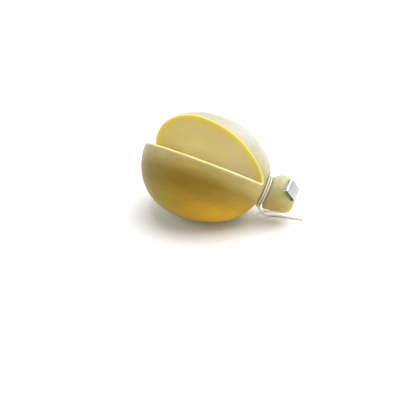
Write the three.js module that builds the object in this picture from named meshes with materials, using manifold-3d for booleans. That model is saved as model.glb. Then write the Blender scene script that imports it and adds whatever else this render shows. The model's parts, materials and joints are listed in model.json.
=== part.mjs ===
// A small pear-shaped provolone with one wedge cut out, tied at the neck with two turns of string.
// It lies on its side: +X runs from the blunt end to the knob, +Z is up, and the table is z = 0.
// The origin is on the table, under the middle of the belly. Sizes are millimetres, angles degrees.
import * as THREE from "three";
import { mergeVertices } from "three/addons/utils/BufferGeometryUtils.js";
import Module from "manifold-3d";

const wasm = await Module();
wasm.setup();

// ---- Driving dimensions ----

// The pear, along its own axis from the belly (station 0)
const BELLY_RADIUS = 50; // the widest section
const SETTLED = 0.95; // height of a section for its width, from lying under its own weight
const BLUNT_LENGTH = 52.4; // belly to blunt end
const BLUNT_POWER = 0.48; // below 0.5 is blunter than an ellipse
const BLUNT_SLANT = 4.6; // the blunt end is pressed in at the front and stands out as far at the back
const TAPER_LENGTH = 62.8; // belly to the tip that the taper would reach without a neck
const TAPER_POWER = 0.49;
const SHOULDER_STATION = 58.9; // where the taper stops at the string
const SHOULDER_WALL = 0.4; // the shoulder drops to the groove within this length
const LIP_RADII = [15.2, 13.1]; // rings of the shoulder's wall, evenly spaced
const GROOVE_WIDTH = 6.4;
const GROOVE_RADIUS = 11;
const GROOVE_DROP = 2.6; // the string has pulled the groove's middle below the axis
const DROP_RUN = 7; // the knob is back on the axis this far past the groove
const KNOB_START = 13.8; // radius of the knob where it meets the groove
const KNOB_RADIUS = 16.4;
const KNOB_LENGTH = 25.5;
const KNOB_WIDEST = 0.42; // share of the knob's length from the groove to its widest section
const KNOB_POWER = 0.25; // a blunt, pressed end
const KNOB_SLANT = { reach: 3, towardFront: 30 }; // the end is pressed in above, at the seal
const KNOB_SAG = { fullness: 3.4, start: 3, run: 16 }; // the knob bulges below, past the string

// On the side that lies up and to the back, the shoulder bulges and its wall leans over the string
const LEAN = { from: 53, bulge: 0.9, wall: 4.2, towardBack: 35 };

// How the pear's axis lies: it slopes down to the neck, and more steeply at both ends
const BELLY_HEIGHT = 46.6; // axis above the table at station 0
const PITCH = 9;
const ARCH = 0.07; // degrees of slope gained for each millimetre of the axis
const BLUNT_RISE = 7.9; // extra slope of the blunt end
const KNOB_DROOP = 9.2; // extra slope of the knob
const KNOB_TURN = 7; // the knob also leans away from the front
const BEND_START = 42.4; // the stations between which the axis bends to the knob
const BEND_LENGTH = 30;

// The wedge cut: both cuts start from one root line inside the cheese, and run out at the neck
const ROOT = { x: 0, y: 6.2, z: 46.7 }; // where the root line passes under the top of the belly
const ROOT_HEADING = -19.2; // the root line turns to the front as it nears the neck
const ROOT_RISE = -1.5;
const BACK_CUT = 86.5; // the two cut faces, measured up from the level front side
const FRONT_CUT = 36.2;
const CUT_REACH = 130; // long enough to pass through the rind

// String, knot and seal
const STRING_RADIUS = 0.95;
const STRING_STATION = 62.5; // middle of the two turns
const TURN_SPACING = 2.15; // between the middles of the two turns
const CLEARANCE = 0.3; // gap between pieces that touch
const KNOT = { radius: 2.8, length: 5.4, towardKnob: -0.4 };
// Loose ends of the string: down from the knot, then along the table
const LONG_END = [
  [55.1, 0.2, 12.4], [56.0, 1.5, 8.5], [57.8, 3.9, 4.3], [61.4, 6.7, 1.5],
  [66.0, 8.4, 1.0], [72.9, 9.2, 1.0], [80.3, 9.1, 1.0], [87.5, 8.9, 1.0], [94.2, 8.4, 1.0],
];
const SHORT_END = [
  [54.4, 3.4, 12.9], [53.9, 6.4, 9.9], [53.0, 9.4, 6.2], [54.1, 12.0, 2.8],
  [57.4, 14.2, 1.25], [64.0, 16.4, 1.0], [71.0, 17.6, 1.0],
];
// The seal is a channel folded from sheet, pressed into the knob: its plate faces outward
const SEAL = { width: 14, length: 13.2, depth: 4, wall: 0.8, at: { x: 86.2, y: -5.6, z: 37.8 } };
const SEAL_FACING = { heading: -17.8, rise: 25.1, roll: 23.2 };
const SEAL_WIRE_RADIUS = 0.6;
// The wire's way out of the channel, from one corner of the plate: across, out of and along it
const SEAL_WIRE = [[-2, -1.9, 2.2], [-1.6, -1.8, -0.7], [0.9, -0.6, -1.3], [3.4, 1.4, -0.2]];

// Fineness
const AROUND = 64;
const AXIS_STEP = 1;
const SECTIONS = { blunt: 16, taper: 18, knob: 14 };
const STRING_SIDES = 8;

// ---- The bent axis ----

const radians = THREE.MathUtils.degToRad;
const ease = (t) => THREE.MathUtils.smoothstep(t, 0, 1);

// Unit direction of the axis at a station.
function axisDirection(s) {
  const bend = ease((s - BEND_START) / BEND_LENGTH);
  const rise = BLUNT_RISE * ease(-s / BLUNT_LENGTH);
  const slope = radians(PITCH + ARCH * s + rise + KNOB_DROOP * bend);
  const heading = radians(KNOB_TURN * bend);
  return new THREE.Vector3(
    Math.cos(slope) * Math.cos(heading),
    Math.cos(slope) * Math.sin(heading),
    -Math.sin(slope),
  );
}

// Point of the axis at a station, added up in small steps from the belly.
function axisPoint(s) {
  const steps = Math.max(1, Math.ceil(Math.abs(s) / AXIS_STEP));
  const step = s / steps;
  const point = new THREE.Vector3(0, 0, BELLY_HEIGHT);
  for (let i = 0; i < steps; i++) point.addScaledVector(axisDirection((i + 0.5) * step), step);
  return point;
}

// The section's own directions at a station: front is level and faces the viewer, up is square to it.
function sectionFrame(s) {
  const along = axisDirection(s);
  const front = new THREE.Vector3(along.y, -along.x, 0).normalize();
  const up = new THREE.Vector3().crossVectors(front, along);
  return { origin: axisPoint(s), along, front, up };
}

// A matrix that stands an object built round the local Y axis on the bent axis at a station.
function stationMatrix(s) {
  const { origin, along, front, up } = sectionFrame(s);
  return new THREE.Matrix4().makeBasis(front, along, up).setPosition(origin);
}

// ---- Solids for joining and cutting ----

function toSolid(geometry) {
  const bare = geometry.clone();
  bare.deleteAttribute("normal");
  bare.deleteAttribute("uv");
  const merged = mergeVertices(bare, 1e-3);
  const corners = merged.index.array;
  const triVerts = [];
  for (let i = 0; i < corners.length; i += 3) {
    const [a, b, c] = corners.slice(i, i + 3);
    if (a !== b && b !== c && c !== a) triVerts.push(a, b, c);
  }
  const vertProperties = new Float32Array(merged.attributes.position.array);
  const mesh = new wasm.Mesh({ numProp: 3, vertProperties, triVerts: new Uint32Array(triVerts) });
  return new wasm.Manifold(mesh);
}

function toGeometry(solid) {
  const { vertProperties, triVerts } = solid.getMesh();
  return new THREE.BufferGeometry()
    .setAttribute("position", new THREE.BufferAttribute(vertProperties, 3))
    .setIndex(new THREE.BufferAttribute(triVerts, 1));
}

// ---- The cheese ----

function bodyRadius(s) {
  const length = s < 0 ? BLUNT_LENGTH : TAPER_LENGTH;
  const power = s < 0 ? BLUNT_POWER : TAPER_POWER;
  return BELLY_RADIUS * Math.pow(Math.max(0, 1 - (s / length) ** 2), power);
}

// Part of an ellipse from the string to the knob's widest section, and half a blunter one after it.
function knobRadius(t) {
  if (t < KNOB_WIDEST) {
    const reach = Math.sqrt(1 - (KNOB_START / KNOB_RADIUS) ** 2);
    const x = reach * (1 - t / KNOB_WIDEST);
    return KNOB_RADIUS * Math.sqrt(1 - x * x);
  }
  const x = (t - KNOB_WIDEST) / (1 - KNOB_WIDEST);
  return KNOB_RADIUS * Math.pow(Math.max(0, 1 - x * x), KNOB_POWER);
}

// Outline of half the pear, as (radius, station) from the blunt end to the knob's end.
function pearProfile() {
  const points = [];
  for (let i = 0; i <= SECTIONS.blunt; i++) {
    const s = -BLUNT_LENGTH * Math.cos((i / SECTIONS.blunt) * (Math.PI / 2));
    points.push(new THREE.Vector2(bodyRadius(s), s));
  }
  for (let i = 1; i <= SECTIONS.taper; i++) {
    const s = SHOULDER_STATION * Math.sin((i / SECTIONS.taper) * (Math.PI / 2));
    points.push(new THREE.Vector2(bodyRadius(s), s));
  }
  [...LIP_RADII, GROOVE_RADIUS].forEach((radius, i) => {
    const s = SHOULDER_STATION + (SHOULDER_WALL * (i + 1)) / (LIP_RADII.length + 1);
    points.push(new THREE.Vector2(radius, s));
  });
  const knobStart = SHOULDER_STATION + GROOVE_WIDTH;
  points.push(new THREE.Vector2(GROOVE_RADIUS, knobStart - SHOULDER_WALL));
  for (let i = 0; i <= SECTIONS.knob; i++) {
    const t = (1 - Math.cos((i / SECTIONS.knob) * Math.PI)) / 2;
    points.push(new THREE.Vector2(knobRadius(t), knobStart + t * KNOB_LENGTH));
  }
  points[0].x = 0;
  points[points.length - 1].x = 0;
  return points;
}

// True on the wall between the shoulder's edge and the groove's floor.
function onWall(s) {
  return s > SHOULDER_STATION && s < SHOULDER_STATION + SHOULDER_WALL - 1e-6;
}

// Leans the shoulder over the string. The vertex is (front, station, up) round the straight axis.
function leanShoulder(vertex) {
  const s = vertex.y;
  const radius = Math.hypot(vertex.x, vertex.z);
  if (radius === 0) return;
  const back = radians(LEAN.towardBack);
  const side = Math.max(0, (vertex.z * Math.cos(back) - vertex.x * Math.sin(back)) / radius) ** 2;
  if (onWall(s)) vertex.y += (side * LEAN.wall * (s - SHOULDER_STATION)) / SHOULDER_WALL;
  if (s > SHOULDER_STATION) return;
  const bulge = side * LEAN.bulge * ease((s - LEAN.from) / (SHOULDER_STATION - LEAN.from));
  const fuller = 1 + bulge / radius;
  vertex.set(vertex.x * fuller, s, vertex.z * fuller);
}

// How far a section lies below the axis: all of the groove's floor, then less along the knob.
function drop(s) {
  if (s <= SHOULDER_STATION || onWall(s)) return 0;
  const pastGroove = s - SHOULDER_STATION - GROOVE_WIDTH;
  return GROOVE_DROP * (1 - ease(pastGroove / DROP_RUN));
}

// Slants the blunt end. The vertex is (front, station, up) round the straight axis.
function slantBlunt(vertex) {
  if (vertex.y >= 0) return;
  vertex.y += BLUNT_SLANT * (vertex.x / BELLY_RADIUS) * (vertex.y / BLUNT_LENGTH) ** 2;
}

// Fills out the knob below, from a little past the string to beyond its widest section.
function sagKnob(vertex) {
  const past = vertex.y - SHOULDER_STATION - GROOVE_WIDTH;
  const radius = Math.hypot(vertex.x, vertex.z);
  if (past < 0 || radius === 0) return;
  const below = Math.max(0, -vertex.z / radius) ** 2;
  vertex.z -= KNOB_SAG.fullness * below * ease(past / KNOB_SAG.start) * (1 - ease(past / KNOB_SAG.run));
}

// Slants the knob's end, so that it is pressed in at the seal's side and fuller on the other.
function slantKnob(vertex) {
  const widest = SHOULDER_STATION + GROOVE_WIDTH + KNOB_WIDEST * KNOB_LENGTH;
  const share = ease((vertex.y - widest) / ((1 - KNOB_WIDEST) * KNOB_LENGTH));
  const front = radians(KNOB_SLANT.towardFront);
  const side = (vertex.z * Math.cos(front) + vertex.x * Math.sin(front)) / KNOB_RADIUS;
  vertex.y -= KNOB_SLANT.reach * side * share;
}

// The pear is turned on a straight axis, and each vertex is then carried to the bent one.
function bentPear() {
  const geometry = new THREE.LatheGeometry(pearProfile(), AROUND);
  const position = geometry.attributes.position;
  const vertex = new THREE.Vector3();
  for (let i = 0; i < position.count; i++) {
    vertex.fromBufferAttribute(position, i);
    vertex.z *= THREE.MathUtils.lerp(SETTLED, 1, ease(vertex.y / SHOULDER_STATION));
    vertex.z -= drop(vertex.y);
    slantBlunt(vertex);
    leanShoulder(vertex);
    sagKnob(vertex);
    slantKnob(vertex);
    const s = vertex.y;
    vertex.setY(0).applyMatrix4(stationMatrix(s));
    position.setXYZ(i, vertex.x, vertex.y, vertex.z);
  }
  return geometry;
}

// The wedge between the two cuts: a triangle drawn square to the root line and run along it.
function wedgeCutter() {
  const heading = radians(ROOT_HEADING);
  const rise = radians(ROOT_RISE);
  const along = new THREE.Vector3(
    Math.cos(rise) * Math.cos(heading),
    Math.cos(rise) * Math.sin(heading),
    Math.sin(rise),
  );
  const front = new THREE.Vector3(along.y, -along.x, 0).normalize();
  const up = new THREE.Vector3().crossVectors(front, along);
  const triangle = new THREE.Shape();
  triangle.moveTo(0, 0);
  for (const angle of [FRONT_CUT, (FRONT_CUT + BACK_CUT) / 2, BACK_CUT]) {
    triangle.lineTo(CUT_REACH * Math.cos(radians(angle)), CUT_REACH * Math.sin(radians(angle)));
  }
  triangle.closePath();
  const geometry = new THREE.ExtrudeGeometry(triangle, { depth: 2 * CUT_REACH, bevelEnabled: false });
  geometry.translate(0, 0, -CUT_REACH);
  const basis = new THREE.Matrix4().makeBasis(front, up, along.clone().negate());
  return geometry.applyMatrix4(basis.setPosition(ROOT.x, ROOT.y, ROOT.z));
}

// Everything below the table, which leaves the small flat that the cheese rests on.
function belowTable() {
  return new THREE.BoxGeometry(400, 400, 100).translate(0, 0, -50);
}

function cheese() {
  const pear = toSolid(bentPear()).subtract(toSolid(wedgeCutter())).subtract(toSolid(belowTable()));
  const wireHole = toSolid(sealWire(SEAL_WIRE_RADIUS + CLEARANCE));
  return toGeometry(pear.subtract(toSolid(sealSeat())).subtract(wireHole));
}

// ---- String ----

const TURN_RADIUS = GROOVE_RADIUS + CLEARANCE + STRING_RADIUS;

// One turn of the string round the neck, in the groove.
function stringTurn(offset) {
  const ring = new THREE.TorusGeometry(TURN_RADIUS, STRING_RADIUS, STRING_SIDES, 40);
  ring.rotateX(Math.PI / 2);
  ring.translate(0, offset, -GROOVE_DROP);
  return ring.applyMatrix4(stationMatrix(STRING_STATION));
}

// The knot hangs under the neck, against both turns.
function stringKnot() {
  const below = GROOVE_DROP + TURN_RADIUS + STRING_RADIUS + CLEARANCE + KNOT.radius;
  const knot = new THREE.SphereGeometry(KNOT.radius, 16, 10);
  knot.scale(1, KNOT.length / (2 * KNOT.radius), 1);
  knot.translate(0, KNOT.towardKnob, -below);
  return knot.applyMatrix4(stationMatrix(STRING_STATION));
}

// A round tube through a list of points, with flat ends.
function tube(points, radius, steps) {
  const section = new THREE.Shape();
  for (let i = 0; i < STRING_SIDES; i++) {
    const a = (i / STRING_SIDES) * 2 * Math.PI;
    const [x, y] = [radius * Math.cos(a), radius * Math.sin(a)];
    if (i === 0) section.moveTo(x, y);
    else section.lineTo(x, y);
  }
  section.closePath();
  const path = new THREE.CatmullRomCurve3(points.map(([x, y, z]) => new THREE.Vector3(x, y, z)));
  return new THREE.ExtrudeGeometry(section, { steps, bevelEnabled: false, extrudePath: path });
}

function stringEnd(points) {
  return tube(points, STRING_RADIUS, 2 * points.length);
}

// ---- Seal ----

// Carries the seal's own axes to the knob: X across the plate, Y out of it, Z along the channel.
function sealMatrix() {
  const heading = radians(SEAL_FACING.heading);
  const rise = radians(SEAL_FACING.rise);
  const roll = radians(SEAL_FACING.roll);
  const out = new THREE.Vector3(
    Math.cos(rise) * Math.cos(heading),
    Math.cos(rise) * Math.sin(heading),
    Math.sin(rise),
  );
  const level = new THREE.Vector3(-Math.sin(heading), Math.cos(heading), 0);
  const upright = new THREE.Vector3().crossVectors(out, level);
  const across = level.clone().multiplyScalar(Math.sin(roll)).addScaledVector(upright, -Math.cos(roll));
  const lengthwise = new THREE.Vector3().crossVectors(across, out);
  const { x, y, z } = SEAL.at;
  return new THREE.Matrix4().makeBasis(across, out, lengthwise).setPosition(x, y, z);
}

// The seat pressed into the knob, larger than the seal by the clearance and open to the outside.
function sealSeat() {
  const seat = new THREE.BoxGeometry(
    SEAL.width + 2 * CLEARANCE,
    2 * (SEAL.depth + CLEARANCE),
    SEAL.length + 2 * CLEARANCE,
  );
  return seat.applyMatrix4(sealMatrix());
}

function seal() {
  const { width, length, depth, wall } = SEAL;
  const outline = [
    [-width / 2, 0], [width / 2, 0], [width / 2, -depth], [width / 2 - wall, -depth],
    [width / 2 - wall, -wall], [wall - width / 2, -wall], [wall - width / 2, -depth], [-width / 2, -depth],
  ];
  const section = new THREE.Shape(outline.map(([x, y]) => new THREE.Vector2(x, y)));
  const channel = new THREE.ExtrudeGeometry(section, { depth: length, bevelEnabled: false });
  return channel.translate(0, 0, -length / 2).applyMatrix4(sealMatrix());
}

// The cut end of the wire that closes the seal, coming out of the channel at one corner of the plate.
function sealWire(radius) {
  const points = SEAL_WIRE.map(([across, out, along]) => (
    [SEAL.width / 2 + across, out, along - SEAL.length / 2]
  ));
  return tube(points, radius, 10).applyMatrix4(sealMatrix());
}

// ---- Assembly ----

function material(color, roughness, metalness) {
  return new THREE.MeshStandardMaterial({ color, roughness, metalness });
}

function piece(name, geometry, look) {
  const mesh = new THREE.Mesh(geometry, look);
  mesh.name = name;
  return mesh;
}

const provolone = new THREE.Group();
provolone.add(piece("cheese", cheese(), material(0xe3cd86, 0.45, 0)));
provolone.add(piece("string_turn_1", stringTurn(-TURN_SPACING / 2), material(0xe9e2d2, 0.9, 0)));
provolone.add(piece("string_turn_2", stringTurn(TURN_SPACING / 2), material(0xe9e2d2, 0.9, 0)));
provolone.add(piece("string_knot", stringKnot(), material(0xe9e2d2, 0.9, 0)));
provolone.add(piece("string_end_1", stringEnd(LONG_END), material(0xe9e2d2, 0.9, 0)));
provolone.add(piece("string_end_2", stringEnd(SHORT_END), material(0xe9e2d2, 0.9, 0)));
provolone.add(piece("seal", seal(), material(0xd9dade, 0.35, 1)));
provolone.add(piece("seal_wire", sealWire(SEAL_WIRE_RADIUS), material(0xb4b4b6, 0.4, 1)));

export default provolone;
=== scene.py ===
"""A small provolone lying on its side, with one wedge cut out and string tied round its neck.

+X runs from the blunt end to the knob and +Z is up. Lengths in this file are millimetres
until mm(), MM or per_metre() turns them to metres, and angles are degrees.
"""
import json
import math

import bpy
import numpy as np
from mathutils import Matrix, Vector
from mathutils.bvhtree import BVHTree

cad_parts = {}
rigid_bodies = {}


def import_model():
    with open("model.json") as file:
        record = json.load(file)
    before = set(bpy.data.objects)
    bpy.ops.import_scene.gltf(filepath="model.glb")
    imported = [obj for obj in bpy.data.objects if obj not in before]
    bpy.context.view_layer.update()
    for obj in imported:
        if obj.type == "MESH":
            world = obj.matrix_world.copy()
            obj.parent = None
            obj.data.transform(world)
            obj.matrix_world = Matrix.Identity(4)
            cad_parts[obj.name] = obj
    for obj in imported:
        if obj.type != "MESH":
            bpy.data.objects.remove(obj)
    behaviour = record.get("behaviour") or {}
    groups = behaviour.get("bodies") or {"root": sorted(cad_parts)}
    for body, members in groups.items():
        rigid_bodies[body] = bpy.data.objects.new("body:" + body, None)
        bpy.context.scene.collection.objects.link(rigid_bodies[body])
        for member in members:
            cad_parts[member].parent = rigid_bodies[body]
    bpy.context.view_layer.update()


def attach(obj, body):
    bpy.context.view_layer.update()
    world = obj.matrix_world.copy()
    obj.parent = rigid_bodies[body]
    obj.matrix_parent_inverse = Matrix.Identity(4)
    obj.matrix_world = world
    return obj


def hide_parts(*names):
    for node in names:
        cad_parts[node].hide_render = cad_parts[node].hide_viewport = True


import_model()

MM = 0.001
FULL_TURN = 2 * math.pi


def mm(point):
    return tuple(c * MM for c in point)


def per_metre(size):
    """How many features of this size fit in a metre, which is a pattern's scale."""
    return 1 / (size * MM)


# ---- Working with objects ----

WELD = 0.001  # points nearer than this are one


def put_in_scene(name, data):
    made = bpy.data.objects.new(name, data)
    bpy.context.scene.collection.objects.link(made)
    return made


def deselect():
    if bpy.context.object and bpy.context.object.mode != "OBJECT":
        bpy.ops.object.mode_set(mode="OBJECT")
    for o in bpy.context.view_layer.objects:
        o.select_set(False)


def pick(obj):
    """Selects this object alone and makes it the active one."""
    deselect()
    obj.select_set(True)
    bpy.context.view_layer.objects.active = obj


def edit_all(obj):
    """Opens the object's mesh for editing, with all of it selected."""
    pick(obj)
    bpy.ops.object.mode_set(mode="EDIT")
    bpy.ops.mesh.select_all(action="SELECT")


def turn_faces_out(obj, weld=0):
    """Makes one point of those nearer than the weld distance, then turns all faces outwards."""
    edit_all(obj)
    if weld:
        bpy.ops.mesh.remove_doubles(threshold=weld * MM)
    bpy.ops.mesh.normals_make_consistent(inside=False)
    bpy.ops.object.mode_set(mode="OBJECT")


def apply_modifier(obj, kind, **settings):
    pick(obj)
    modifier = obj.modifiers.new(kind.lower(), kind)
    for key, value in settings.items():
        setattr(modifier, key, value)
    bpy.ops.object.modifier_apply(modifier=modifier.name)


def make_mesh(obj):
    """Turns a curve object into a mesh with its faces outwards, and returns it."""
    pick(obj)
    bpy.ops.object.convert(target="MESH")
    made = bpy.context.object
    turn_faces_out(made, WELD)
    return made


def points_of(mesh):
    co = np.empty(len(mesh.vertices) * 3, np.float32)
    mesh.vertices.foreach_get("co", co)
    return co.reshape(-1, 3).astype(float)


def set_points(mesh, points):
    mesh.vertices.foreach_set("co", np.asarray(points, np.float32).ravel())
    mesh.update()


def dress(obj, material, slot, *nodes):
    """The piece rides on the cheese's body, takes the material given and stands for CAD nodes. The slot is
    not used.
    """
    obj.data.materials.clear()
    obj.data.materials.append(material)
    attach(obj, "root")
    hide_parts(*nodes)


# ---- Making materials ----

def linear(hexcode):
    """An sRGB hex colour as linear red, green, blue and alpha."""
    channels = [int(hexcode[i:i + 2], 16) / 255 for i in (0, 2, 4)]
    return [c / 12.92 if c <= 0.04045 else ((c + 0.055) / 1.055) ** 2.4 for c in channels] + [1.0]


def node(tree, kind, inputs=(), stops=(), **settings):
    """Adds a node. Its inputs are values or other nodes' outputs, stops are a colour ramp's
    (place, hex colour), and settings are the node's own properties."""
    made = tree.nodes.new(kind)
    for key, value in settings.items():
        setattr(made, key, value)
    fill(tree, made, inputs)
    for i, (place, colour) in enumerate(stops):
        element = made.color_ramp.elements[i] if i < 2 else made.color_ramp.elements.new(place)
        element.position, element.color = place, linear(colour)
    return made


def fill(tree, made, inputs):
    for key, value in dict(inputs).items():
        if isinstance(value, bpy.types.NodeSocket):
            tree.links.new(value, made.inputs[key])
        else:
            made.inputs[key].default_value = value


def start_material(name):
    material = bpy.data.materials.new(name)
    material.use_nodes = True
    tree = material.node_tree
    return material, tree, tree.nodes["Principled BSDF"]


def object_place(tree, squeeze=(1, 1, 1)):
    """Object coordinates in metres. Squeezed along an axis, a pattern on them is drawn out there."""
    place = node(tree, "ShaderNodeTexCoord").outputs["Object"]
    return node(tree, "ShaderNodeMapping", {"Vector": place, "Scale": squeeze}).outputs[0]


# ---- Camera ----

CAMERA_AZIMUTH = 14.93  # round to the right of the front
CAMERA_ELEVATION = 29.87
CAMERA_DISTANCE = 900
CAMERA_AIM = (-5.211, 22.199, -1.1)
SENSOR_WIDTH, FOCAL_LENGTH = 36, 86.89
NEAREST_SEEN = 10


def add_camera():
    azimuth, elevation = math.radians(CAMERA_AZIMUTH), math.radians(CAMERA_ELEVATION)
    back = Vector((
        math.sin(azimuth) * math.cos(elevation),
        -math.cos(azimuth) * math.cos(elevation),
        math.sin(elevation),
    ))
    camera = put_in_scene("camera", bpy.data.cameras.new("camera"))
    camera.data.sensor_width = SENSOR_WIDTH
    camera.data.lens = FOCAL_LENGTH
    camera.data.clip_start = NEAREST_SEEN * MM
    camera.location = (Vector(CAMERA_AIM) + back * CAMERA_DISTANCE) * MM
    camera.rotation_euler = (-back).to_track_quat("-Z", "Y").to_euler()
    bpy.context.scene.camera = camera


add_camera()


# ---- The string ----

STRING_RADIUS = 0.95
PLIES = 3
PLY_RADIUS = 0.464 * STRING_RADIUS
PLY_LAY = 8  # length in which one ply goes once round
PLY_POINTS = 10  # round each ply's part of the section
GROOVE_BETWEEN_PLIES = 0.74 * STRING_RADIUS  # radius down to which the plies press together
CURVE_STEPS = 60  # along a curve between two of its given points
CORD_SPACING = 0.5

LONG_END = [
    (55.1, 0.2, 12.4), (56.0, 1.5, 8.5), (57.8, 3.9, 4.3), (61.4, 6.7, 1.5), (66.0, 8.4, 1.0),
    (72.9, 9.2, 1.0), (80.3, 9.1, 1.0), (87.5, 8.9, 1.0), (94.2, 8.4, 1.0),
]
SHORT_END = [
    (54.4, 3.4, 12.9), (53.9, 6.4, 9.9), (53.0, 9.4, 6.2), (54.1, 12.0, 2.8),
    (57.4, 14.2, 1.25), (64.0, 16.4, 1.0), (71.0, 17.6, 1.0),
]


def centripetal(points, spacing):
    """Points a fixed spacing apart on a smooth centripetal curve through the given ones,
    and the curve's length."""
    p = np.array(points, float)
    p = np.vstack([2 * p[0] - p[1], p, 2 * p[-1] - p[-2]])
    out = []
    for i in range(1, len(p) - 2):
        a, b, c, d = p[i - 1:i + 3]
        k0, k1, k2, k3 = np.cumsum([0] + [np.linalg.norm(v) ** 0.5 for v in (b - a, c - b, d - c)])
        t = np.linspace(k1, k2, CURVE_STEPS, endpoint=False)[:, None]
        a1 = (k1 - t) / (k1 - k0) * a + (t - k0) / (k1 - k0) * b
        a2 = (k2 - t) / (k2 - k1) * b + (t - k1) / (k2 - k1) * c
        a3 = (k3 - t) / (k3 - k2) * c + (t - k2) / (k3 - k2) * d
        b1 = (k2 - t) / (k2 - k0) * a1 + (t - k0) / (k2 - k0) * a2
        b2 = (k3 - t) / (k3 - k1) * a2 + (t - k1) / (k3 - k1) * a3
        out.append((k2 - t) / (k2 - k1) * b1 + (t - k1) / (k2 - k1) * b2)
    fine = np.vstack(out + [p[-2:-1]])
    gone = np.concatenate([[0], np.cumsum(np.linalg.norm(np.diff(fine, axis=0), axis=1))])
    at = np.linspace(0, gone[-1], max(2, round(gone[-1] / spacing) + 1))
    return np.stack([np.interp(at, gone, fine[:, k]) for k in range(3)], 1), gone[-1]


def curve_along(name, path, closed=False):
    """A curve object with one straight-segment spline through the path's points."""
    line = bpy.data.curves.new(name, "CURVE")
    line.dimensions = "3D"
    spline = line.splines.new("POLY")
    spline.points.add(len(path) - 1)
    for point, place in zip(spline.points, path):
        point.co = (*mm(place), 1)
    spline.use_cyclic_u = closed
    line.use_fill_caps = not closed
    return put_in_scene(name, line)


def ply_section(name):
    """The outline of the plies lying round the string's middle."""
    angles = np.arange(PLIES * PLY_POINTS) / (PLIES * PLY_POINTS) * FULL_TURN
    from_ply = (angles + math.pi / PLIES) % (FULL_TURN / PLIES) - math.pi / PLIES
    middle = STRING_RADIUS - PLY_RADIUS
    reach = middle * np.cos(from_ply)
    reach += np.sqrt(np.maximum(0, PLY_RADIUS ** 2 - (middle * np.sin(from_ply)) ** 2))
    reach = np.maximum(reach, GROOVE_BETWEEN_PLIES)
    outline = np.stack([reach * np.cos(angles), reach * np.sin(angles), 0 * angles], 1)
    section = curve_along(name + "_section", outline, closed=True)
    section.data.dimensions = "2D"
    return section


def twine(name, path, closed=False):
    """Twisted string along a path: a lobed section that turns as it goes."""
    section = ply_section(name)
    strand = curve_along(name, path, closed)
    strand.data.twist_mode = "MINIMUM"
    gone = np.concatenate([[0], np.cumsum(np.linalg.norm(np.diff(path, axis=0), axis=1))])
    total = gone[-1] + (np.linalg.norm(path[0] - path[-1]) if closed else 0)
    turns = round(total / PLY_LAY) if closed else total / PLY_LAY
    for point, distance in zip(strand.data.splines[0].points, gone):
        point.tilt = FULL_TURN * turns * distance / total
    strand.data.bevel_mode = "OBJECT"
    strand.data.bevel_object = section
    made = make_mesh(strand)
    bpy.data.objects.remove(section)
    pick(made)
    bpy.ops.object.shade_smooth()
    return made


FIBRE_TUFT, STAIN = 0.455, 7.69


def cotton_twine(name, darker, lighter):
    """Cotton, spun and laid in three plies: matt, with a soft halo at grazing angles."""
    material, tree, shader = start_material(name)
    place = object_place(tree)
    fibres = node(tree, "ShaderNodeTexNoise", {
        "Vector": place, "Scale": per_metre(FIBRE_TUFT), "Detail": 4,
    })
    stain = node(tree, "ShaderNodeTexNoise", {"Vector": place, "Scale": per_metre(STAIN), "Detail": 2})
    colour = node(tree, "ShaderNodeValToRGB", {0: stain.outputs[0]}, [(0.3, darker), (0.7, lighter)])
    bump = node(tree, "ShaderNodeBump", {
        "Height": fibres.outputs[0], "Strength": 0.4, "Distance": 0.2 * MM,
    })
    fill(tree, shader, {
        "Base Color": colour.outputs[0], "Normal": bump.outputs[0], "Roughness": 0.85,
        "Sheen Weight": 0.35, "Sheen Roughness": 0.4,
    })
    return material


cotton = cotton_twine("bleached_cotton_twisted_twine", "ECE7DA", "FAF7EF")
# a greyer, yellower copy of the twine for the turns and the knot, painted shade for the groove they lie in
groove_shaded_cotton = cotton_twine("cotton_twine_with_painted_groove_shade", "D6CEB0", "E6DFC8")

for name, points, node_name in (
    ("string_long_end", LONG_END, "string_end_1"),
    ("string_short_end", SHORT_END, "string_end_2"),
):
    path, length = centripetal(points, CORD_SPACING)
    strand = twine(name, path)
    dress(strand, cotton, "string", node_name)


# ---- The pear, as a surface turned round an axis that bends ----

BELLY_RADIUS = 50
BELLY_HEIGHT = 46.6
SETTLED = 0.95  # height of a section for its width
BLUNT_LENGTH, BLUNT_POWER = 52.4, 0.48
BLUNT_SLANT = 4.6  # the blunt end is slanted, further out at the back
TAPER_LENGTH, TAPER_POWER = 62.8, 0.49

SHOULDER_STATION, SHOULDER_WALL = 58.9, 0.4  # the shoulder overhangs the string
LIP_RADII = (15.2, 13.1)
# it swells from this station on and its wall leans over the string, most at the top and back
LEAN_FROM, LEAN_BULGE, LEAN_WALL, LEAN_TOWARD_BACK = 53, 0.9, 4.2, 35

GROOVE_WIDTH, GROOVE_RADIUS = 6.4, 11
GROOVE_DROP, DROP_RUN = 2.6, 7  # the string has pulled the groove's middle below the axis
CLEARANCE = 0.3  # between the cheese and what is tied round it or set into it

KNOB_START, KNOB_RADIUS, KNOB_LENGTH = 13.8, 16.4, 25.5  # radius at its start and widest
KNOB_WIDEST, KNOB_POWER = 0.42, 0.25  # where on its length, and how blunt it is past there
KNOB_SAG, SAG_START, SAG_RUN = 3.4, 3, 16  # the knob bulges below, past the string
SLANT_REACH, SLANT_TOWARD_FRONT = 3, 30  # the knob's end is pressed in at the seal's side

PITCH = 9  # the axis falls toward the knob
ARCH = 0.07  # and more steeply by this for each millimetre
BLUNT_RISE = 7.9  # the blunt end is turned up by this
# the neck and the knob droop and turn to the back
KNOB_DROOP, KNOB_TURN, BEND_START, BEND_LENGTH = 9.2, 7, 42.4, 30
AXIS_START, AXIS_END, AXIS_STEP = -60, 110, 0.25

ROUNDING = 1e-6  # numbers that differ by less are the same


def ease(t):
    t = np.clip(t, 0, 1)
    return t * t * (3 - 2 * t)


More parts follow.
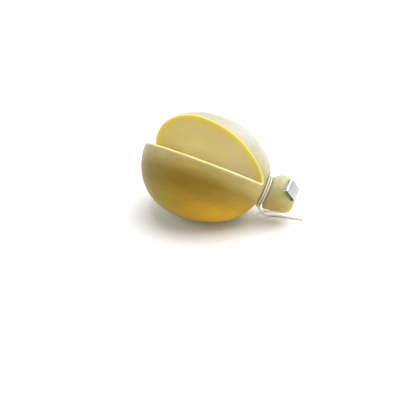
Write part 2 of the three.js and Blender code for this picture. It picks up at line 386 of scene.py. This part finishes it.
def axis_direction(s):
    bend = ease((s - BEND_START) / BEND_LENGTH)
    slope = np.radians(PITCH + ARCH * s + BLUNT_RISE * ease(-s / BLUNT_LENGTH) + KNOB_DROOP * bend)
    heading = np.radians(KNOB_TURN * bend)
    return np.stack([np.cos(slope) * np.cos(heading), np.cos(slope) * np.sin(heading), -np.sin(slope)], -1)


AXIS_STATIONS = np.arange(AXIS_START, AXIS_END + AXIS_STEP / 2, AXIS_STEP)
axis_steps = axis_direction(AXIS_STATIONS[:-1] + AXIS_STEP / 2) * AXIS_STEP
AXIS_POINTS = np.vstack([[0, 0, 0], np.cumsum(axis_steps, 0)])
at_belly = np.argmin(np.abs(AXIS_STATIONS))
AXIS_POINTS += np.array([0, 0, BELLY_HEIGHT]) - AXIS_POINTS[at_belly]


def station_frame(s):
    """Middle, and the directions along, to the front and up, of the sections at these stations."""
    s = np.atleast_1d(np.asarray(s, float))
    middle = np.stack([np.interp(s, AXIS_STATIONS, AXIS_POINTS[:, k]) for k in range(3)], -1)
    along = axis_direction(s)
    front = np.stack([along[:, 1], -along[:, 0], 0 * s], -1)
    front /= np.linalg.norm(front, axis=1)[:, None]
    return middle, along, front, np.cross(front, along)


def carry(straight):
    """Points given as (front, station, up) round a straight axis, carried to the bent one."""
    middle, along, front, up = station_frame(straight[:, 1])
    return middle + front * straight[:, :1] + up * straight[:, 2:3]


def body_radius(s):
    length = np.where(s < 0, BLUNT_LENGTH, TAPER_LENGTH)
    power = np.where(s < 0, BLUNT_POWER, TAPER_POWER)
    return BELLY_RADIUS * np.maximum(0, 1 - (s / length) ** 2) ** power


def knob_radius(t):
    """The knob's radius at a share t of its length: round to its widest, then a blunt cap."""
    reach = math.sqrt(1 - (KNOB_START / KNOB_RADIUS) ** 2)
    near = KNOB_RADIUS * np.sqrt(np.maximum(0, 1 - (reach * (1 - t / KNOB_WIDEST)) ** 2))
    past = np.maximum(0, (t - KNOB_WIDEST) / (1 - KNOB_WIDEST))
    return np.where(t < KNOB_WIDEST, near, KNOB_RADIUS * np.maximum(0, 1 - past * past) ** KNOB_POWER)


BLUNT_RINGS, TAPER_RINGS, LIP_RINGS, KNOB_RINGS = 60, 50, 3, 60
ROUND_STEPS = 192


def pear_profile():
    """Radius and station of each ring, from the blunt end to the knob's end."""
    blunt = -BLUNT_LENGTH * np.cos(np.linspace(0, math.pi / 2, BLUNT_RINGS))
    taper = SHOULDER_STATION * np.sin(np.linspace(0, math.pi / 2, TAPER_RINGS)[1:])
    lip = SHOULDER_STATION + SHOULDER_WALL * np.arange(1, LIP_RINGS + 1) / LIP_RINGS
    knob = (1 - np.cos(np.linspace(0, math.pi, KNOB_RINGS))) / 2
    knob_start = SHOULDER_STATION + GROOVE_WIDTH
    s = np.concatenate([blunt, taper, lip, [knob_start - SHOULDER_WALL], knob_start + knob * KNOB_LENGTH])
    groove = [GROOVE_RADIUS, GROOVE_RADIUS]
    r = np.concatenate([body_radius(blunt), body_radius(taper), LIP_RADII, groove, knob_radius(knob)])
    r[0] = r[-1] = 0
    return r, s


def settle(straight):
    """Slants the blunt end, drops the groove below the axis, leans the shoulder over the string,
    fills out the knob below and slants its end.
    Points are (front, station, up) round the straight axis."""
    front, s, up = straight.T.copy()
    on_body = s <= SHOULDER_STATION + ROUNDING
    wall = (s > SHOULDER_STATION) & (s < SHOULDER_STATION + SHOULDER_WALL - WELD)
    past_groove = s - SHOULDER_STATION - GROOVE_WIDTH
    up -= np.where(on_body | wall, 0, GROOVE_DROP * (1 - ease(past_groove / DROP_RUN)))
    radius = np.maximum(np.hypot(front, up), ROUNDING)
    below = np.maximum(0, -up / radius) ** 2 * (past_groove >= 0)
    up -= KNOB_SAG * below * ease(past_groove / SAG_START) * (1 - ease(past_groove / SAG_RUN))
    s = s + np.where(s < 0, BLUNT_SLANT * front / BELLY_RADIUS * (s / BLUNT_LENGTH) ** 2, 0)
    a = math.radians(LEAN_TOWARD_BACK)
    side = np.maximum(0, (up * math.cos(a) - front * math.sin(a)) / radius) ** 2
    lean = np.where(wall, side * LEAN_WALL * (s - SHOULDER_STATION) / SHOULDER_WALL, 0)
    bulge = LEAN_BULGE * ease((s - LEAN_FROM) / (SHOULDER_STATION - LEAN_FROM))
    fuller = np.where(on_body, 1 + side * bulge / radius, 1)
    front, up = front * fuller, up * fuller
    widest = SHOULDER_STATION + GROOVE_WIDTH + KNOB_WIDEST * KNOB_LENGTH
    share = ease((s - widest) / ((1 - KNOB_WIDEST) * KNOB_LENGTH))
    a = math.radians(SLANT_TOWARD_FRONT)
    slant = SLANT_REACH * (up * math.cos(a) + front * math.sin(a)) / KNOB_RADIUS * share
    return np.stack([front, s + lean - slant, up], 1)


def turned_pear():
    """The whole cheese before it was cut: its profile spun round, settled and bent."""
    radius, station = pear_profile()
    mesh = bpy.data.meshes.new("provolone")
    edges = [(i, i + 1) for i in range(len(radius) - 1)]
    mesh.from_pydata([(r * MM, s * MM, 0) for r, s in zip(radius, station)], edges, [])
    pear = put_in_scene("provolone", mesh)
    edit_all(pear)
    bpy.ops.mesh.spin(steps=ROUND_STEPS, angle=FULL_TURN, center=(0, 0, 0), axis=(0, 1, 0))
    turn_faces_out(pear, 2 * WELD)
    straight = points_of(mesh) / MM
    straight[:, 2] *= SETTLED + (1 - SETTLED) * ease(straight[:, 1] / SHOULDER_STATION)
    set_points(mesh, carry(settle(straight)) * MM)
    return pear


# ---- What is cut from the pear ----

ROOT = (0, 6.2, 46.7)  # the two cuts meet in a line through this point
ROOT_HEADING, ROOT_RISE = -19.2, -1.5
BACK_CUT, FRONT_CUT = 86.5, 36.2  # angles from level, seen along that line
CUT_REACH = 130

SEAL_WIDTH, SEAL_LENGTH, SEAL_DEPTH, SEAL_WALL = 14, 13.2, 4, 0.8
SEAL_AT = (86.2, -5.6, 37.8)
SEAL_HEADING, SEAL_RISE, SEAL_ROLL = -17.8, 25.1, 23.2
WIRE_RADIUS = 0.6
WIRE_SPACING = 0.3  # between the points of its path
WIRE_ROUNDNESS = 4  # steps in a quarter of its section
WIRE_SMOOTH_ANGLE = 50  # a sharper angle stays an edge
# across, out of and along the channel, from one corner of the plate
WIRE_ROUTE = [(-2, -1.9, 2.2), (-1.6, -1.8, -0.7), (0.9, -0.6, -1.3), (3.4, 1.4, -0.2)]


def facing(heading, rise):
    """The direction with this heading, round from +X, and this rise."""
    h, r = math.radians(heading), math.radians(rise)
    return Vector((math.cos(r) * math.cos(h), math.cos(r) * math.sin(h), math.sin(r)))


def root_frame():
    along = facing(ROOT_HEADING, ROOT_RISE)
    front = Vector((along.y, -along.x, 0)).normalized()
    return along, front, front.cross(along)


def block(name, corners, faces):
    """A solid to cut with."""
    mesh = bpy.data.meshes.new(name)
    mesh.from_pydata([mm(c) for c in corners], [], faces)
    made = put_in_scene(name, mesh)
    turn_faces_out(made)
    return made


def wedge_cutter():
    """The wedge between the two cuts, which start from one line inside the cheese."""
    along, front, up = root_frame()
    outline = [(0, 0)]
    for angle in (FRONT_CUT, (FRONT_CUT + BACK_CUT) / 2, BACK_CUT):
        a = math.radians(angle)
        outline.append((CUT_REACH * math.cos(a), CUT_REACH * math.sin(a)))
    corners = []
    for end in (-CUT_REACH, CUT_REACH):
        corners += [Vector(ROOT) + along * end + front * x + up * y for x, y in outline]
    faces = [(0, 1, 2, 3), (7, 6, 5, 4)] + [(i, (i + 1) % 4, (i + 1) % 4 + 4, i + 4) for i in range(4)]
    return block("wedge", corners, faces)


def seal_matrix():
    """Carries the seal's own axes to the knob: X across the plate, Y out of it, Z along the channel."""
    out = facing(SEAL_HEADING, SEAL_RISE)
    level = facing(SEAL_HEADING + 90, 0)
    roll = math.radians(SEAL_ROLL)
    across = level * math.sin(roll) - out.cross(level) * math.cos(roll)
    turn = Matrix((across, out, across.cross(out))).transposed().to_4x4()
    return Matrix.Translation(SEAL_AT) @ turn


def seat_cutter():
    """The seal's seat in the knob, a clearance larger than the seal all round."""
    half = SEAL_WIDTH / 2 + CLEARANCE, SEAL_DEPTH + CLEARANCE, SEAL_LENGTH / 2 + CLEARANCE
    corners = [
        seal_matrix() @ Vector((x, y, z))
        for x in (-half[0], half[0]) for y in (-half[1], half[1]) for z in (-half[2], half[2])
    ]
    faces = [(0, 1, 3, 2), (4, 6, 7, 5), (0, 4, 5, 1), (2, 3, 7, 6), (0, 2, 6, 4), (1, 5, 7, 3)]
    return block("seat", corners, faces)


def wire(name, radius):
    """A round bar along the wire's way out of the channel."""
    corner = Vector((SEAL_WIDTH / 2, 0, -SEAL_LENGTH / 2))
    path, _ = centripetal([seal_matrix() @ (corner + Vector(p)) for p in WIRE_ROUTE], WIRE_SPACING)
    bar = curve_along(name, path)
    bar.data.bevel_depth = radius * MM
    bar.data.bevel_resolution = WIRE_ROUNDNESS
    made = make_mesh(bar)
    bpy.ops.object.shade_smooth_by_angle(angle=math.radians(WIRE_SMOOTH_ANGLE))
    return made


def cut_with(obj, cutter):
    apply_modifier(obj, "BOOLEAN", operation="DIFFERENCE", solver="EXACT", object=cutter)
    bpy.data.objects.remove(cutter)


# ---- The cheese ----

SKIN_GRID = 0.8  # size of the cheese's mesh faces
SKIN_SMOOTHING = 10
RIM = 1.6  # how far from a cut's edge the corner is rounded off
RIM_SMOOTHING = 16
SEAT_FROM = 62  # past here the rind covers the knob and its seat alike
PAINTED_LIGHT_SIDE = (0.25, 0.7, 0.67)  # painted sheen: the rind is painted palest where it faces this way, toward the lamps at the top and back
FRONT_SIDE = (0.22, -0.84, 0.5)
LEE_START, LEE_RANGE = -0.08, 0.4  # how far turned away from the front its colour changes
KNOB_PAINTED_LIGHT, KNOB_EVENNESS = 0.3, 0.36  # on the knob the painted light is raised and evened out, so the knob is paler and more even all round
KNOB_FROM, KNOB_BLEND = 57, 6  # along the cheese


def depth_in(uncut, mesh):
    """How deep each of the mesh's points lies under the uncut cheese's skin."""
    return np.array([uncut.find_nearest(p)[3] for p in points_of(mesh)]) / MM


def soften_rims(pear, uncut):
    """Rounds the corners between the rind and the two cuts, which give way under the knife."""
    along, front, up = (np.array(v) for v in root_frame())
    local = points_of(pear.data) / MM - np.array(ROOT)
    x, y = local @ front, local @ up
    near = np.zeros(len(x), bool)
    for angle in (FRONT_CUT, BACK_CUT):
        a = math.radians(angle)
        near |= (np.abs(x * math.sin(a) - y * math.cos(a)) < RIM) & (x * math.cos(a) + y * math.sin(a) > 0)
    near &= depth_in(uncut, pear.data) < RIM
    group = pear.vertex_groups.new(name="rims")
    group.add(np.nonzero(near)[0].tolist(), 1.0, "REPLACE")
    apply_modifier(pear, "SMOOTH", factor=0.5, iterations=RIM_SMOOTHING, vertex_group="rims")


def facing_share(normals, side):
    """1 where the surface faces the side, 0 across it and -1 where it is turned away."""
    return normals @ np.array(side) / np.linalg.norm(side)


def mark_skin(mesh, uncut):
    """Stores at each point how deep it lies and which way it faces, for the material."""
    along = points_of(mesh)[:, 0] / MM
    depth = depth_in(uncut, mesh)
    depth[along > SEAT_FROM] = 0
    normals = np.empty(len(mesh.vertices) * 3, np.float32)
    mesh.vertices.foreach_get("normal", normals)
    normals = normals.reshape(-1, 3).astype(float)
    # painted light: how far the surface faces the lamps at the top and back, which sets how light or dark
    # the rind is painted
    toward_light = facing_share(normals, PAINTED_LIGHT_SIDE)
    toward_light += ease((along - KNOB_FROM) / KNOB_BLEND) * (KNOB_PAINTED_LIGHT - KNOB_EVENNESS * toward_light)
    away = -facing_share(normals, FRONT_SIDE)
    for name, values in (
        ("rind_depth_mm", depth),
        ("lee", ease((away - LEE_START) / LEE_RANGE)),
        ("painted_light", (1 + toward_light) / 2),
    ):
        layer = mesh.attributes.new(name, "FLOAT", "POINT")
        layer.data.foreach_set("value", values.astype(np.float32))


def provolone_cheese():
    pear = turned_pear()
    uncut = BVHTree.FromObject(pear, bpy.context.evaluated_depsgraph_get())
    cut_with(pear, wedge_cutter())
    cut_with(pear, seat_cutter())
    cut_with(pear, wire("wire_hole", WIRE_RADIUS + CLEARANCE))
    edit_all(pear)
    bpy.ops.mesh.bisect(plane_co=(0, 0, 0), plane_no=(0, 0, 1), use_fill=True, clear_inner=True)
    bpy.ops.object.mode_set(mode="OBJECT")
    apply_modifier(pear, "REMESH", mode="VOXEL", voxel_size=SKIN_GRID * MM, adaptivity=0)
    apply_modifier(pear, "SMOOTH", factor=0.5, iterations=SKIN_SMOOTHING)
    soften_rims(pear, uncut)
    points = points_of(pear.data)
    points[:, 2] = np.maximum(points[:, 2], 0)
    set_points(pear.data, points)
    mark_skin(pear.data, uncut)
    pick(pear)
    bpy.ops.object.shade_smooth()
    return pear


# ---- The cheese's material ----

CLOUD, STREAK, GRAIN = 33.3, 5.26, 3.12  # sizes of the rind's pattern
CURD, KNIFE_DRAG = 11.1, 2.38  # and of the paste's
STREAK_SQUEEZE, CURD_SQUEEZE = (0.25, 1, 1), (0.5, 1, 1)  # drawn out along the cheese
DRAG_SQUEEZE = (0.15, 1, 0.15)  # drawn out along the cuts
SHADE, CURD_SHADE = (0.91, 1.09), (0.97, 1.03)  # darkest and lightest
MIX_A, MIX_B, MIX_RESULT = 6, 7, 2  # a Mix node's sockets for colours

# by the painted light on the rind: 0 is low at the front, deep gold, partly the rind's own and partly
# painted light thrown up onto it from below; around 0.2 to 0.3, on the front, it is darkest, painted
# shade; toward 1, on top at the back, it is palest, a painted sheen
RIND = [
    (0.0, "B68E00"), (0.1, "AC8602"), (0.2, "8E7008"), (0.29, "8A701A"), (0.38, "AC9650"),
    (0.48, "B2A470"), (0.6, "AEA67E"), (0.85, "B5B29C"),
]
NECK = (14, 40)
# a stretch along the cheese and a range of the painted light, each from faint to full, and the tint there
RIND_TINTS = [
    ((-8, -38), (0.68, 0.5), (0.88, 1.0, 1.35)),  # painted shade: on the front toward the blunt end the rind is cooler and a little darker
    # painted light: the far blunt end is lighter, as if lit from the left
    ((-36, -50), None, (1.14, 1.1, 1.06)),
    ((4, -22), (0.24, 0.06), (0.68, 0.8, 1.3)),  # the gold low on the front, partly the rind's own and partly painted light thrown up onto it from below, fades to the blunt end
    ((4, 24), (0.36, 0.18), (1.26, 1.22, 0.95)),  # and is brighter toward the neck, which is painted light
    ((30, 62), (0.42, 0.24), (1.24, 1.34, 2.4)),  # painted reflection: low toward the neck the rind is paler, as if it mirrored the white floor
    # the rind is lighter and paler toward the neck, in part a painted highlight
    (NECK, None, (1.11, 1.13, 1.25)),
    ((60, 68), None, (0.97, 0.97, 0.74)),  # the knob
]
LEE_RIND = "C2B68C"  # on the side turned away from the front

PASTE_DEPTH = 34
# from the rind inwards, as shares of that depth; the first, palest stop, right at the rim, is a painted
# highlight along the cut's edge
PASTE = [
    (0.008, "F0DCA0"), (0.035, "DDCA64"), (0.12, "DAC866"), (0.3, "DCCD92"), (0.55, "DED09A"),
    (1.0, "E8DCAA"),
]
# the paste is paler toward the neck, in part a painted highlight
PASTE_NECK_TINT = (1.03, 1.07, 1.32)
PASTE_LEE_TINT = (0.84, 0.86, 1.05)
DRIED_ZONE_WAVER = 1.2  # how far the dried zone's edge wanders in and out
RIND_THICKNESS = (0.12, 0.4)  # from all rind to all paste


def tinted(tree, colour, share, tint):
    """The colour multiplied by the tint, as far as the share goes."""
    full = node(tree, "ShaderNodeVectorMath", {0: colour, 1: tint}, operation="MULTIPLY").outputs[0]
    mixed = node(tree, "ShaderNodeMix", {0: share, MIX_A: colour, MIX_B: full}, data_type="RGBA")
    return mixed.outputs[MIX_RESULT]


def share_at(tree, along, painted_light, stretch, painted_light_range):
    """Grows from 0 to 1 over a stretch along the cheese and, if given, over a range of the painted light.
    """
    share = node(tree, "ShaderNodeMapRange", {
        "Value": along, "From Min": stretch[0] * MM, "From Max": stretch[1] * MM,
    }).outputs[0]
    if painted_light_range is None:
        return share
    light_share = node(tree, "ShaderNodeMapRange", {
        "Value": painted_light, "From Min": painted_light_range[0], "From Max": painted_light_range[1],
    }).outputs[0]
    return node(tree, "ShaderNodeMath", {0: share, 1: light_share}, operation="MULTIPLY").outputs[0]


def rind_colour(tree, along, painted_light, lee, cloud):
    """Deep gold with painted light and shade: palest as a painted sheen where it faces the top and back,
    darkest as painted shade on the front; in soft clouds and streaks along the cheese.
    """
    streaks = node(tree, "ShaderNodeTexNoise", {
        "Vector": object_place(tree, STREAK_SQUEEZE), "Scale": per_metre(STREAK), "Detail": 3,
    })
    mottle = node(tree, "ShaderNodeMath", {0: cloud, 1: streaks.outputs[0]}, operation="ADD")
    shade = node(tree, "ShaderNodeMapRange", {
        "Value": mottle.outputs[0], "From Min": 0.7, "From Max": 1.3,
        "To Min": SHADE[0], "To Max": SHADE[1],
    }).outputs[0]
    bare = node(tree, "ShaderNodeValToRGB", {0: painted_light}, RIND).outputs[0]
    rind = node(tree, "ShaderNodeVectorMath", {0: bare, 1: shade}, operation="MULTIPLY").outputs[0]
    for stretch, painted_light_range, tint in RIND_TINTS:
        rind = tinted(tree, rind, share_at(tree, along, painted_light, stretch, painted_light_range), tint)
    # on the side turned away from the front the rind takes one plain gold, without painted light
    gold = linear(LEE_RIND)[:3]
    gold = node(tree, "ShaderNodeVectorMath", {0: gold, 1: shade}, operation="MULTIPLY").outputs[0]
    mixed = node(tree, "ShaderNodeMix", {0: lee, MIX_A: rind, MIX_B: gold}, data_type="RGBA")
    return mixed.outputs[MIX_RESULT]


def paste_colour(tree, along, painted_light, lee, depth, cloud):
    """Pale straw, deeper yellow where it has dried under the rind, with a faint stretched curd."""
    waver = node(tree, "ShaderNodeMapRange", {
        "Value": cloud, "To Min": -DRIED_ZONE_WAVER, "To Max": DRIED_ZONE_WAVER,
    })
    wandering = node(tree, "ShaderNodeMath", {0: depth, 1: waver.outputs[0]}, operation="ADD")
    inward = node(tree, "ShaderNodeMapRange", {"Value": wandering.outputs[0], "From Max": PASTE_DEPTH})
    paste = node(tree, "ShaderNodeValToRGB", {0: inward.outputs[0]}, PASTE).outputs[0]
    curd = node(tree, "ShaderNodeTexNoise", {
        "Vector": object_place(tree, CURD_SQUEEZE), "Scale": per_metre(CURD), "Detail": 5,
    })
    tone = node(tree, "ShaderNodeMapRange", {
        "Value": curd.outputs[0], "From Min": 0.3, "From Max": 0.7,
        "To Min": CURD_SHADE[0], "To Max": CURD_SHADE[1],
    }).outputs[0]
    paste = node(tree, "ShaderNodeVectorMath", {0: paste, 1: tone}, operation="MULTIPLY").outputs[0]
    paste = tinted(tree, paste, share_at(tree, along, painted_light, NECK, None), PASTE_NECK_TINT)
    return tinted(tree, paste, lee, PASTE_LEE_TINT)


def rind_and_paste():
    """Natural provolone: a thin waxy rind with a soft gloss over a close stretched-curd paste,
    both of which glow a little with the light that goes into them."""
    material, tree, shader = start_material("provolone_natural_rind_and_paste")
    depth, painted_light, lee = (
        node(tree, "ShaderNodeAttribute", attribute_name=name).outputs["Fac"]
        for name in ("rind_depth_mm", "painted_light", "lee")
    )
    place = object_place(tree)
    along = node(tree, "ShaderNodeSeparateXYZ", {0: place}).outputs[0]
    cloud = node(tree, "ShaderNodeTexNoise", {
        "Vector": place, "Scale": per_metre(CLOUD), "Detail": 3,
    }).outputs[0]
    cut_face = node(tree, "ShaderNodeMapRange", {
        "Value": depth, "From Min": RIND_THICKNESS[0], "From Max": RIND_THICKNESS[1],
    }).outputs[0]
    colour = node(tree, "ShaderNodeMix", {
        0: cut_face,
        MIX_A: rind_colour(tree, along, painted_light, lee, cloud),
        MIX_B: paste_colour(tree, along, painted_light, lee, depth, cloud),
    }, data_type="RGBA").outputs[MIX_RESULT]
    grain = node(tree, "ShaderNodeTexNoise", {
        "Vector": place, "Scale": per_metre(GRAIN), "Detail": 5,
    }).outputs[0]
    drag = node(tree, "ShaderNodeTexNoise", {
        "Vector": object_place(tree, DRAG_SQUEEZE), "Scale": per_metre(KNIFE_DRAG), "Detail": 2,
    }).outputs[0]
    relief = node(tree, "ShaderNodeMix", {0: cut_face, 2: grain, 3: drag}).outputs[0]
    bump = node(tree, "ShaderNodeBump", {"Height": relief, "Strength": 0.14, "Distance": 0.6 * MM})
    rough = node(tree, "ShaderNodeMapRange", {
        "Value": grain, "From Min": 0.3, "From Max": 0.7, "To Min": 0.36, "To Max": 0.48,
    })
    fill(tree, shader, {
        "Base Color": colour, "Normal": bump.outputs[0], "Roughness": rough.outputs[0], "IOR": 1.33,
        "Subsurface Weight": 0.85, "Subsurface Scale": 7 * MM, "Subsurface Radius": (1.0, 0.8, 0.4),
    })
    return material


dress(provolone_cheese(), rind_and_paste(), "cheese", "cheese")


# ---- String turns and knot ----

STRING_STATION = 62.5
TURN_SPACING = 2.15
TURN_RADIUS = GROOVE_RADIUS + CLEARANCE + STRING_RADIUS
TURN_POINTS = 160
KNOT_RADIUS, KNOT_LENGTH, KNOT_TOWARD_KNOB = 2.8, 5.4, -0.4
KNOT_WINDS, KNOT_POINTS = 2.2, 90


def at_neck(front, along, up):
    """Places at the string, from their distances to the front, along the axis and up."""
    middle, axis, forward, upward = station_frame(STRING_STATION)
    return middle + np.outer(front, forward) + np.outer(along, axis) + np.outer(up, upward)


def turn_path(offset):
    around = np.linspace(0, FULL_TURN, TURN_POINTS, endpoint=False)
    up = -TURN_RADIUS * np.cos(around) - GROOVE_DROP
    return at_neck(TURN_RADIUS * np.sin(around), np.full(TURN_POINTS, offset), up)


def knot_path():
    """The string wound twice round itself, tight under the neck."""
    drop = GROOVE_DROP + TURN_RADIUS + STRING_RADIUS + CLEARANCE + KNOT_RADIUS
    winds = np.linspace(0, KNOT_WINDS * FULL_TURN, KNOT_POINTS)
    ring = KNOT_RADIUS - STRING_RADIUS
    along = (winds / winds[-1] - 0.5) * (KNOT_LENGTH - 2 * STRING_RADIUS) + KNOT_TOWARD_KNOB
    return at_neck(ring * np.cos(winds), along, ring * np.sin(winds) - drop)


# the turns and the knot take the twine darkened as painted shade of the groove
for name, offset in (("string_turn_1", -TURN_SPACING / 2), ("string_turn_2", TURN_SPACING / 2)):
    dress(twine(name + "_twine", turn_path(offset), closed=True), groove_shaded_cotton, "string", name)
dress(twine("string_knot_twine", knot_path()), groove_shaded_cotton, "string", "string_knot")


# ---- Seal ----

FOLD_RADIUS, FOLD_STEPS = 1.1, 5
EDGE_RADIUS, EDGE_STEPS, EDGE_ANGLE = 0.18, 3, 50  # round the sheet's own sharp edges
SEAL_SMOOTH_ANGLE = 40


def fold_side_down(plate, side):
    """Extrudes the edges on one long side of the plate downwards, as a wall."""
    mesh = plate.data
    pick(plate)
    for v in mesh.vertices:
        at_side = abs(v.co.x - side * SEAL_WIDTH / 2 * MM) < WELD * MM
        v.select = at_side and abs(v.co.z) < WELD * MM
    for e in mesh.edges:
        e.select = all(mesh.vertices[i].select for i in e.vertices)
    for f in mesh.polygons:
        f.select = False
    bpy.ops.object.mode_set(mode="EDIT")
    bpy.ops.mesh.select_mode(type="EDGE")
    bpy.ops.mesh.extrude_region_move(TRANSFORM_OT_translate={"value": (0, 0, -SEAL_DEPTH * MM)})
    bpy.ops.object.mode_set(mode="OBJECT")


def folded_seal():
    """A channel folded from sheet: a flat plate with two walls turned down, edges rounded."""
    deselect()
    bpy.ops.mesh.primitive_plane_add(size=1, location=(0, 0, 0))
    plate = bpy.context.object
    plate.name = "seal_folded_sheet"
    edit_all(plate)
    bpy.ops.transform.resize(value=(SEAL_WIDTH * MM, SEAL_LENGTH * MM, 1))
    bpy.ops.mesh.subdivide(number_cuts=1)
    bpy.ops.object.mode_set(mode="OBJECT")
    for side in (-1, 1):
        fold_side_down(plate, side)
    apply_modifier(plate, "BEVEL", width=FOLD_RADIUS * MM, segments=FOLD_STEPS, limit_method="ANGLE")
    turn_faces_out(plate)
    apply_modifier(plate, "SOLIDIFY", thickness=SEAL_WALL * MM, offset=-1)
    apply_modifier(
        plate, "BEVEL", width=EDGE_RADIUS * MM, segments=EDGE_STEPS, limit_method="ANGLE",
        angle_limit=math.radians(EDGE_ANGLE),
    )
    # the plate was made level, and its outside, which is up, is the seal's own Y
    across, lengthwise, out = (points_of(plate.data) / MM).T
    own = np.stack([across, out, lengthwise], 1)
    matrix = np.array(seal_matrix())
    set_points(plate.data, (own @ matrix[:3, :3].T + matrix[:3, 3]) * MM)
    turn_faces_out(plate)
    bpy.ops.object.shade_smooth_by_angle(angle=math.radians(SEAL_SMOOTH_ANGLE))
    return plate


ROLLING_HAZE, DENT, DRAWING_HAZE = 2.86, 4.17, 1.11  # sizes of the metals' patterns


def aluminium_sheet():
    """Soft aluminium sheet, rolled: grey, satin, with small dents from pressing it shut."""
    material, tree, shader = start_material("aluminium_rolled_sheet")
    place = object_place(tree)
    haze = node(tree, "ShaderNodeTexNoise", {
        "Vector": place, "Scale": per_metre(ROLLING_HAZE), "Detail": 3,
    })
    colour = node(tree, "ShaderNodeValToRGB", {0: haze.outputs[0]}, [(0.3, "CFD0D6"), (0.7, "E2E2E8")])
    rough = node(tree, "ShaderNodeMapRange", {"Value": haze.outputs[0], "To Min": 0.36, "To Max": 0.52})
    dent = node(tree, "ShaderNodeTexNoise", {"Vector": place, "Scale": per_metre(DENT), "Detail": 2})
    bump = node(tree, "ShaderNodeBump", {
        "Height": dent.outputs[0], "Strength": 0.25, "Distance": 0.4 * MM,
    })
    fill(tree, shader, {
        "Base Color": colour.outputs[0], "Roughness": rough.outputs[0], "Normal": bump.outputs[0],
        "Metallic": 1,
    })
    return material


def steel_wire():
    """Drawn steel wire, bright grey and finely clouded."""
    material, tree, shader = start_material("steel_drawn_wire")
    haze = node(tree, "ShaderNodeTexNoise", {
        "Vector": object_place(tree), "Scale": per_metre(DRAWING_HAZE), "Detail": 2,
    })
    colour = node(tree, "ShaderNodeValToRGB", {0: haze.outputs[0]}, [(0.3, "D6D6D6"), (0.7, "EAEAEA")])
    fill(tree, shader, {"Base Color": colour.outputs[0], "Metallic": 1, "Roughness": 0.6})
    return material


dress(folded_seal(), aluminium_sheet(), "seal", "seal")
dress(wire("seal_wire_drawn", WIRE_RADIUS), steel_wire(), "wire", "seal_wire")


# ---- Floor and light ----

FLOOR_SIZE = 6000
LIGHTS_AIM = (0, 0, 30)
# place, width and height, and how bright a white surface would have to be to give as much
SOFTBOXES = {
    "key_softbox": ((210, 150, 980), (1300, 1300), 3.2),
    "back_softbox": ((150, 1000, 330), (1600, 600), 0.8),
    "right_softbox": ((900, -250, 300), (900, 600), 1.1),
    "left_softbox": ((-850, -350, 380), (800, 700), 1.7),
}


def white_floor():
    """Matt white paper, which throws a soft light back up."""
    deselect()
    bpy.ops.mesh.primitive_plane_add(size=FLOOR_SIZE * MM, location=(0, 0, 0))
    floor = bpy.context.object
    floor.name = "floor"
    material, tree, shader = start_material("white_paper_floor")
    fill(tree, shader, {"Base Color": linear("F8F8F8"), "Roughness": 0.9})
    floor.data.materials.append(material)


def softbox(name, place, size, radiance):
    light = bpy.data.lights.new(name, "AREA")
    light.shape = "RECTANGLE"
    light.size, light.size_y = mm(size)
    light.energy = radiance * math.pi * light.size * light.size_y
    lamp = put_in_scene(name, light)
    lamp.location = mm(place)
    lamp.rotation_euler = (Vector(LIGHTS_AIM) - Vector(place)).to_track_quat("-Z", "Y").to_euler()


def studio_air():
    world = bpy.data.worlds.new("studio")
    world.use_nodes = True
    tree = world.node_tree
    fill(tree, tree.nodes["Background"], {"Color": (0.96, 0.98, 1, 1), "Strength": 0.3})
    bpy.context.scene.world = world


white_floor()
for name, (place, size, radiance) in SOFTBOXES.items():
    softbox(name, place, size, radiance)
studio_air()
bpy.context.scene.view_settings.view_transform = "Standard"
